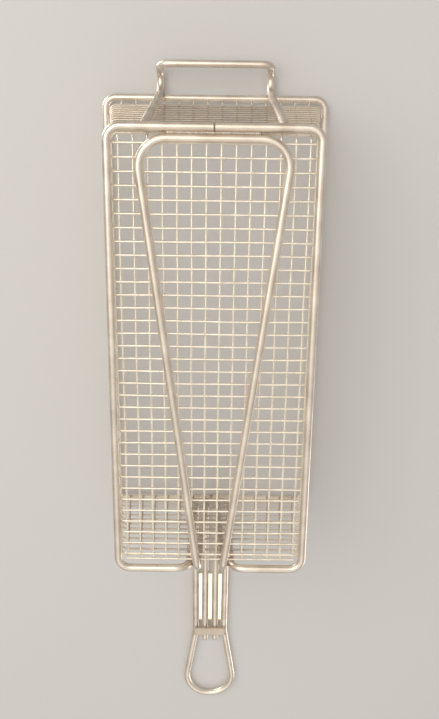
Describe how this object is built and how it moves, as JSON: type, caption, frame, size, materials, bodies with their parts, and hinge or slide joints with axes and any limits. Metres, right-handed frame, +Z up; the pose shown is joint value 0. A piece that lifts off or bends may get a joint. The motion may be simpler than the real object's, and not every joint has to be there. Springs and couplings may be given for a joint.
{
  "type": "wire frying basket",
  "caption": "Rectangular wire mesh frying basket with tapered walls, a rod frame and brace, a long loop-ended grip handle and a hanging hook.",
  "frame": {"origin": "middle of the footprint, on the surface that the bottom frame stands on", "axes": "+Z up through the open mouth, +Y along the handle away from the hook, +X to the right when seen from the hook end"},
  "size_m": [0.1882, 0.6314, 0.1568],
  "materials": {
    "rod_steel": "bright drawn stainless rod, lightly scratched, with straw tint at the welds",
    "mesh_steel": "satin stainless wire with a warm straw tint",
    "plate_steel": "bright smooth stainless sheet"
  },
  "bodies": {
    "root": {"frame_and_handle_wire": "rod_steel", "brace_loop_wire": "rod_steel", "rim_wire": "rod_steel", "hanger_hook_wire": "rod_steel", "handle_cross_strip": "rod_steel", "handle_plate": "plate_steel", "floor_length_wires": "mesh_steel", "floor_cross_wires": "mesh_steel", "handle_end_uprights": "mesh_steel", "hook_end_uprights": "mesh_steel", "left_side_uprights": "mesh_steel", "right_side_uprights": "mesh_steel", "ring_wire_01": "mesh_steel", "ring_wire_02": "mesh_steel", "ring_wire_03": "mesh_steel", "ring_wire_04": "mesh_steel", "ring_wire_05": "mesh_steel", "ring_wire_06": "mesh_steel", "ring_wire_07": "mesh_steel", "ring_wire_08": "mesh_steel", "ring_wire_09": "mesh_steel", "ring_wire_10": "mesh_steel", "ring_wire_11": "mesh_steel", "ring_wire_12": "mesh_steel", "ring_wire_13": "mesh_steel"}
  },
  "joints": []
}
